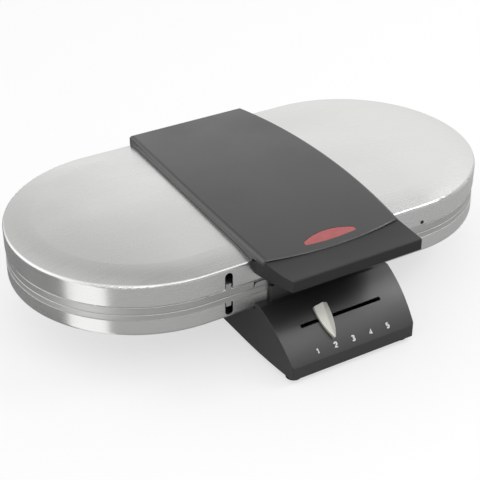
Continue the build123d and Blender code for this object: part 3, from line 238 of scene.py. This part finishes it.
def brushed_steel(name, colour, roughness):
    """Stainless sheet, brushed along the body on top and round the walls."""
    material, tree, shader = new_material(name)
    feed(tree, 1.0, shader, "Metallic")
    feed(tree, brush_spread, shader, "Anisotropic")

    # Streaks along X for the top, and level streaks for the walls
    top_stretch = (brush_along, brush_across, brush_along)
    wall_stretch = (brush_along, brush_along, brush_across)
    top_fine = noise(tree, scale=1.0, detail=2.0, roughness=0.6, stretch=top_stretch)
    wall_fine = noise(tree, scale=1.0, detail=2.0, roughness=0.6, stretch=wall_stretch)
    geometry = add(tree, "ShaderNodeNewGeometry")
    normal = turned(tree, geometry.outputs["Normal"], "NORMAL", "WORLD", "OBJECT")
    parts = add(tree, "ShaderNodeSeparateXYZ", Vector=normal)
    upward = remap(tree, parts.outputs["Z"], (0.0, 1.0), crown_slope)
    blend = add(tree, "ShaderNodeMix", {"data_type": "FLOAT"}, Factor=upward, A=wall_fine, B=top_fine)
    streaks = blend.outputs["Result"]

    # Light spreads across the brushing: upwards on the walls, along Y on the crown
    upright = remap(tree, upward, (1.0, 0.0))
    spread = add(tree, "ShaderNodeCombineXYZ", Y=upward, Z=upright)
    feed(tree, turned(tree, spread.outputs["Vector"], "VECTOR", "OBJECT", "WORLD"), shader, "Tangent")

    # Handling marks and rolled-sheet clouding, broad and faint
    cloud = noise(tree, scale=9.0, detail=4.0, roughness=0.55, stretch=(1.0, 1.6, 1.6))
    rough_cloud = remap(tree, cloud, (roughness - 0.04, roughness + 0.05), noise_span)
    rough_streak = remap(tree, streaks, (-0.025, 0.025), noise_span)
    feed(tree, compute(tree, "ADD", rough_cloud, rough_streak), shader, "Roughness")
    tint(tree, shader, streaks, colour, 0.92, 1.0)
    bump(tree, shader, streaks, strength=0.04, distance=0.01 * MM)
    return material


def cast_metal(name, colour, roughness, metallic=1.0, edge=0.0):
    """Plain metal: matt skin with faint flow marks and a sandy grain."""
    material, tree, shader = new_material(name)
    feed(tree, metallic, shader, "Metallic")
    flow = noise(tree, scale=22.0, detail=5.0, roughness=0.6, stretch=(1.0, 1.0, 3.0))
    grain = noise(tree, scale=1600.0, detail=3.0, roughness=0.6)
    tint(tree, shader, flow, colour, 0.82, 1.12)
    roughen(tree, shader, flow, roughness - 0.07, roughness + 0.09, span=(0.25, 0.75))
    bump(tree, shader, grain, strength=0.25, distance=0.08 * MM, edge=edge)
    return material


def moulded(name, colour, roughness, grain_scale=1500.0, grain_depth=0.06 * MM, metallic=0.0, coat=0.0,
            specular=0.5):
    """A moulded or painted skin with a fine grain and slight clouding."""
    material, tree, shader = new_material(name)
    feed(tree, metallic, shader, "Metallic")
    feed(tree, coat, shader, "Coat Weight")
    feed(tree, 0.2, shader, "Coat Roughness")
    feed(tree, specular, shader, "Specular IOR Level")
    cloud = noise(tree, scale=14.0, detail=4.0, roughness=0.6)
    grain = noise(tree, scale=grain_scale, detail=2.0, roughness=0.6)
    tint(tree, shader, cloud, colour, 0.92, 1.08)
    roughen(tree, shader, cloud, roughness - 0.04, roughness + 0.05)
    bump(tree, shader, grain, strength=0.35, distance=grain_depth, edge=plastic_edge)
    return material


def red_window(name, colour):
    """Tinted clear moulding over the lamps, with a faint ribbing below its skin."""
    material, tree, shader = new_material(name)
    feed(tree, 0.22, shader, "Roughness")
    feed(tree, 0.35, shader, "Subsurface Weight")
    feed(tree, 2 * MM, shader, "Subsurface Scale")
    feed(tree, 0.6, shader, "Coat Weight")
    feed(tree, 0.12, shader, "Coat Roughness")
    ribs = add(
        tree, "ShaderNodeTexWave", {"wave_type": "BANDS", "bands_direction": "X"},
        Vector=own_space(tree), Scale=420.0,
    )
    cloud = noise(tree, scale=120.0, detail=3.0, roughness=0.5)
    tint(tree, shader, cloud, colour, 0.8, 1.15)
    bump(tree, shader, ribs.outputs["Fac"], strength=0.12, distance=0.08 * MM)
    return material


def lamp_glass(name, colour):
    """Small clear glow lamps with slightly uneven glass."""
    material, tree, shader = new_material(name)
    feed(tree, 0.08, shader, "Roughness")
    feed(tree, 0.7, shader, "Transmission Weight")
    cloud = noise(tree, scale=300.0, detail=2.0, roughness=0.5)
    tint(tree, shader, cloud, colour, 0.85, 1.0)
    bump(tree, shader, cloud, strength=0.1, distance=0.1 * MM)
    return material


def rubber(name, colour):
    """Matt rubber with a dusty, slightly uneven skin."""
    material, tree, shader = new_material(name)
    feed(tree, 0.3, shader, "Specular IOR Level")
    dust = noise(tree, scale=260.0, detail=5.0, roughness=0.7)
    tint(tree, shader, dust, colour, 1.0, 1.8)
    roughen(tree, shader, dust, 0.75, 0.95)
    bump(tree, shader, dust, strength=0.3, distance=0.2 * MM)
    return material


def dark_heater(name, colour):
    """Steel tube that the heat has darkened in patches."""
    material, tree, shader = new_material(name)
    feed(tree, 0.9, shader, "Metallic")
    scorch = noise(tree, scale=40.0, detail=5.0, roughness=0.65)
    fine = noise(tree, scale=900.0, detail=2.0, roughness=0.6)
    tint(tree, shader, scorch, colour, 0.55, 1.0)
    roughen(tree, shader, scorch, 0.35, 0.6)
    bump(tree, shader, fine, strength=0.15, distance=0.1 * MM)
    return material


# One finish for each slot of the record
slot_finishes = {
    "steel_shell": brushed_steel("steel_shell", (0.76, 0.76, 0.75), 0.27),
    "cast_plate": cast_metal("cast_plate", (0.58, 0.58, 0.57), 0.46, metallic=0.85, edge=cast_edge),
    "dark_plastic": moulded("dark_plastic", (0.016, 0.017, 0.016), 0.38, specular=1.0),
    "black_plastic": moulded("black_plastic", (0.022, 0.022, 0.022), 0.5),
    "silver_knob": moulded(
        "silver_knob", (0.64, 0.64, 0.58), 0.34,
        grain_scale=2600.0, grain_depth=0.02 * MM, metallic=0.3, coat=0.3,
    ),
    "red_lens": red_window("red_lens", (0.40, 0.065, 0.068)),
    "lamp_glass": lamp_glass("lamp_glass", (0.9, 0.72, 0.6)),
    "rubber": rubber("rubber", (0.018, 0.018, 0.018)),
    "screw_steel": cast_metal("screw_steel", (0.62, 0.62, 0.61), 0.28),
    "hinge_steel": moulded(
        "hinge_steel", (0.03, 0.03, 0.03), 0.34,
        grain_scale=700.0, grain_depth=0.08 * MM, coat=0.25,
    ),
    "sheet_metal": cast_metal("sheet_metal", (0.66, 0.66, 0.65), 0.35),
    "heater_sheath": dark_heater("heater_sheath", (0.30, 0.27, 0.24)),
    "white_plastic": moulded("white_plastic", (0.78, 0.76, 0.70), 0.45),
}

# The printed numbers, and the grip, a darker and less shiny copy of the cover's plastic that paints
# shade onto the handle
white_print = moulded("white_print", (0.92, 0.92, 0.90), 0.5, grain_scale=3000.0, grain_depth=0.01 * MM)
# A darker, less shiny copy of the cover's plastic: painted shade on the handle
painted_shade_grip_plastic = moulded(
    "painted_shade_grip_plastic", (0.014, 0.015, 0.014), 0.46,
    grain_scale=1300.0, grain_depth=0.08 * MM, specular=0.42,
)
shade_copy_finishes = {"handle_grip": painted_shade_grip_plastic}


def dress(mesh, material):
    """Gives a mesh one material."""
    mesh.materials.clear()
    mesh.materials.append(material)


def dress_nodes():
    """Gives each CAD node the finish of its record slot, or the grip its darker copy with painted shade.
    """
    for entry in frame["record"]["subparts"]:
        name = entry["node"]
        dress(nodes[name].data, shade_copy_finishes.get(name, slot_finishes[entry["material_slot"]]))


# Numbers

def place_in_scene(name, data):
    """A new object in the scene, from its mesh, lamp or camera."""
    thing = bpy.data.objects.new(name, data)
    bpy.context.scene.collection.objects.link(thing)
    return thing


def panel_place(x, y):
    """The point of the stand's panel over a place in plan, and the panel's normal there."""
    stand = nodes["stand_housing"]
    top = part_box("stand_housing")[1].z
    hit, place, normal, _ = stand.ray_cast(Vector((x, y, top + probe_rise)), Vector((0, 0, -1)))
    if not hit:
        raise ValueError("no panel under the number")
    return place, normal


def number_mesh(stroke):
    """A number drawn with a round pen and pressed nearly flat."""
    curve = bpy.data.curves.new("stroke", "CURVE")
    curve.dimensions = "3D"
    curve.bevel_depth = number_pen
    curve.bevel_resolution = number_pen_steps
    curve.use_fill_caps = True
    spline = curve.splines.new("POLY")
    spline.points.add(len(stroke) - 1)
    for point, (x, y) in zip(spline.points, stroke):
        point.co = (x * number_height, y * number_height, 0, 1)
    drawn = bpy.data.objects.new("stroke", curve)
    mesh = bpy.data.meshes.new_from_object(drawn)
    bpy.data.objects.remove(drawn)
    mesh.transform(Matrix.Diagonal((1, 1, number_flatness, 1)))
    return mesh


def add_numbers():
    """Plain raised numbers under the control's slot, one for each step."""
    middle_step = (len(number_strokes) + 1) / 2
    for step, stroke in enumerate(number_strokes, 1):
        x = number_centre_x + (step - middle_step) * number_pitch
        place, normal = panel_place(x, number_y)
        across = Vector((1, 0, 0))
        up = normal.cross(across).normalized()
        turn = Matrix((across, up, normal)).transposed().to_4x4()
        mesh = number_mesh(stroke)
        mesh.transform(Matrix.Translation(place) @ turn)
        dress(mesh, white_print)
        number = place_in_scene(f"number_{step}", mesh)
        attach(number, "base")


# Studio

def empty_tree(owner):
    """The cleared node tree of a material or world."""
    owner.use_nodes = True
    owner.node_tree.nodes.clear()
    return owner.node_tree


def mix_shaders(tree, share, first, second):
    """Two shaders mixed by the second one's share."""
    mix = add(tree, "ShaderNodeMixShader", Fac=share)
    feed(tree, first.outputs[0], mix, 1)
    feed(tree, second.outputs[0], mix, 2)
    return mix.outputs["Shader"]


def add_flat(name, corners, height, material):
    """A flat stage piece from its corners in plan."""
    mesh = bpy.data.meshes.new(name)
    mesh.from_pydata([(x, y, height) for x, y in corners], [], [tuple(range(len(corners)))])
    dress(mesh, material)
    flat = place_in_scene(name, mesh)
    return flat


def floor_share(tree, rays):
    """How white the floor is: nearly so to the camera and glass, and to metal away from the object, with
    painted shade in its reflection near the object.
    """
    geometry = add(tree, "ShaderNodeNewGeometry")
    place = geometry.outputs["Position"]
    distance = add(tree, "ShaderNodeVectorMath", {"operation": "LENGTH"}, Vector=place)
    # Whiter to metal with distance from the middle: the duller floor near the object is painted shade in
    # reflections
    shine = remap(tree, distance.outputs["Value"], shine_shares, shine_ring)
    glossy = compute(tree, "MULTIPLY", shine, rays["Is Glossy Ray"])
    clear = compute(tree, "MAXIMUM", rays["Is Camera Ray"], rays["Is Transmission Ray"])
    return compute(tree, "MAXIMUM", glossy, compute(tree, "MULTIPLY", clear, camera_share))


def add_floor():
    """A plain pale floor: white to the camera with the object's shadow kept, duller as a lamp, and
    darker in reflections, which is painted shade.
    """
    material = bpy.data.materials.new("floor")
    tree = empty_tree(material)
    rays = add(tree, "ShaderNodeLightPath").outputs
    # Darker for all rays but the camera's: painted shade in the metal's reflection of the floor, and
    # dimmer bounce light
    paper = remap(tree, rays["Is Camera Ray"], (floor_bounce, floor_white))
    matt = add(tree, "ShaderNodeBsdfDiffuse", Color=paper)
    white = add(tree, "ShaderNodeEmission", Strength=1.0)
    surface = mix_shaders(tree, floor_share(tree, rays), matt, white)
    add(tree, "ShaderNodeOutputMaterial", Surface=surface)
    sides = ((-1, -1), (1, -1), (1, 1), (-1, 1))
    add_flat("floor", [(x * floor_reach, y * floor_reach) for x, y in sides], 0, material)


def add_painted_reflection_card(name, corners, level):
    """A glowing card that lies beside the object and shows only in its polished parts: a painted
    reflection.
    """
    material = bpy.data.materials.new(name)
    tree = empty_tree(material)
    # A glow that only polished parts see: a painted reflection
    glow = add(tree, "ShaderNodeEmission", Strength=level)
    add(tree, "ShaderNodeOutputMaterial", Surface=glow.outputs["Emission"])
    card = add_flat(name, corners, card_height, material)
    card.visible_camera = False
    card.visible_diffuse = False
    card.visible_shadow = False
    card.visible_transmission = False
    card.visible_volume_scatter = False


def beside_end(angle):
    """A place under the left end's wall, by its angle from the front."""
    low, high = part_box("lower_shell")
    radius = (high.y - low.y) / 2
    middle = (high.y + low.y) / 2
    turn = math.radians(angle)
    return Vector((low.x + radius - radius * math.sin(turn), middle - radius * math.cos(turn)))


def away(place, heading):
    """A far place on the floor from a near one, by a heading from the front towards the left."""
    turn = math.radians(heading)
    return place + Vector((-math.sin(turn), -math.cos(turn))) * card_reach


def add_painted_reflection_cards():
    """A white card at the left end, a painted highlight in its wall, and a grey one behind it, painted
    shade in the wall.
    """
    near, far = (beside_end(angle) for angle in painted_highlight_card_from)
    first, last = painted_highlight_card_headings
    # Painted highlight in the left end's steel wall
    add_painted_reflection_card("painted_highlight_card", [near, far, away(far, last), away(near, first)], painted_highlight_card_level)
    back = beside_end(painted_shade_card_from)
    middle, rear = painted_shade_card_headings
    corners = [far, back, away(back, rear), away(back, middle), away(far, last)]
    # Painted shade in the steel wall behind it
    add_painted_reflection_card("painted_shade_card", corners, painted_shade_card_level)


def facing(direction):
    """The turn that points a lamp or camera along a direction."""
    return direction.to_track_quat("-Z", "Y")


def add_lamp(name, place, size, power):
    """A soft rectangular lamp that faces the object."""
    light = bpy.data.lights.new(name, "AREA")
    light.shape = "RECTANGLE"
    light.size, light.size_y = size
    light.energy = power
    lamp = place_in_scene(name, light)
    lamp.location = place
    lamp.rotation_euler = facing(lamp_target - place).to_euler()


def level_ramp(tree, value, stops):
    """A brightness from its stops, by a value."""
    node = add(tree, "ShaderNodeValToRGB", Fac=value)
    elements = node.color_ramp.elements
    for element, (place, level) in zip(elements, (stops[0], stops[-1])):
        element.position = place
        element.color = (level, level, level, 1)
    for place, level in stops[1:-1]:
        elements.new(place).color = (level, level, level, 1)
    return node.outputs["Color"]


def dome_level(tree):
    """The studio dome's brightness in a direction."""
    coordinate = add(tree, "ShaderNodeTexCoord")
    x, y, z = add(tree, "ShaderNodeSeparateXYZ", Vector=coordinate.outputs["Generated"]).outputs
    leaning = compute(tree, "MULTIPLY_ADD", y, dome_lean, x)
    behind = compute(tree, "ADD", y, z)
    across = level_ramp(tree, remap(tree, leaning, (0.0, 1.0), dome_span), dome_across)
    upward = level_ramp(tree, z, dome_upward)
    forward = level_ramp(tree, remap(tree, behind, (0.0, 1.0), (-1.0, 1.0)), dome_forward)
    return compute(tree, "MULTIPLY", compute(tree, "MULTIPLY", across, upward), forward)


def add_world():
    """White for the camera, and a soft studio dome for light and reflections."""
    world = bpy.data.worlds.new("studio")
    bpy.context.scene.world = world
    tree = empty_tree(world)
    soft = add(tree, "ShaderNodeBackground", Color=dome_level(tree), Strength=dome_strength)
    white = add(tree, "ShaderNodeBackground", Color=(1, 1, 1, 1), Strength=1.0)
    rays = add(tree, "ShaderNodeLightPath").outputs
    surface = mix_shaders(tree, rays["Is Camera Ray"], soft, white)
    add(tree, "ShaderNodeOutputWorld", Surface=surface)


def add_camera():
    """The camera at the photograph's place."""
    data = bpy.data.cameras.new("camera")
    data.sensor_width = sensor_width
    data.lens = focal_pixels / image_pixels * sensor_width
    camera = place_in_scene("camera", data)
    azimuth = math.radians(camera_azimuth)
    elevation = math.radians(camera_elevation)
    back = Vector((
        math.sin(azimuth) * math.cos(elevation),
        -math.cos(azimuth) * math.cos(elevation),
        math.sin(elevation),
    ))
    camera.location = camera_place
    camera.rotation_mode = "QUATERNION"
    camera.rotation_quaternion = facing(-back)
    bpy.context.scene.camera = camera


bpy.context.scene.view_settings.view_transform = "Standard"
dress_nodes()
add_numbers()
add_floor()
add_painted_reflection_cards()
add_world()
add_lamp("strip", strip_place, strip_size, strip_power)
add_lamp("key", key_place, key_size, key_power)
add_camera()
